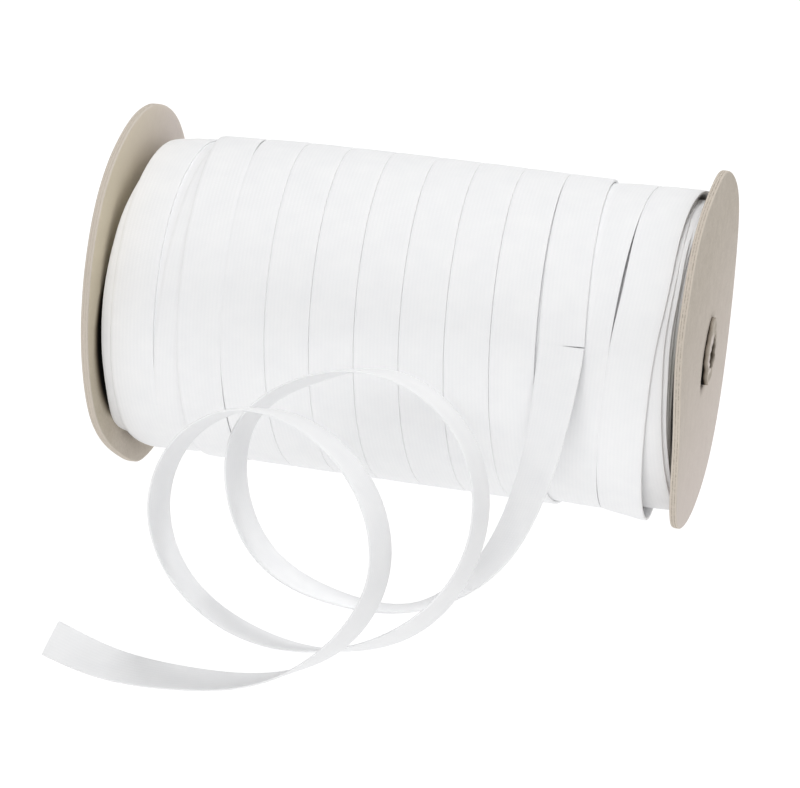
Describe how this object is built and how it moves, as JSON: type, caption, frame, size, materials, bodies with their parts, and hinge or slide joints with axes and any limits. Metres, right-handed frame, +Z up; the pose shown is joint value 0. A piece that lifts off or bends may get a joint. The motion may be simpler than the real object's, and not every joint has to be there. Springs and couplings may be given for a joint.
{
  "type": "roll of elastic tape",
  "caption": "Roll of flat white woven elastic tape wound on a card tube between card discs, with a loose end that rolls out in open loops over the table.",
  "frame": {"origin": "on the table, at the middle of the footprint of the roll and its loose end", "axes": "+Z up, +X along the reel's axle towards the disc beside the end of the winding, -Y towards the loose end"},
  "size_m": [0.1608, 0.1714, 0.0978],
  "materials": {
    "elastic": "matt white knitted elastic with fine ribs along its length",
    "card": "plain grey-brown chipboard, uncoated, a little scuffed at the rims"
  },
  "bodies": {
    "root": {"disc_left": "card", "disc_right": "card", "card_tube": "card", "wound_tape": "elastic", "loose_end": "elastic"}
  },
  "joints": []
}
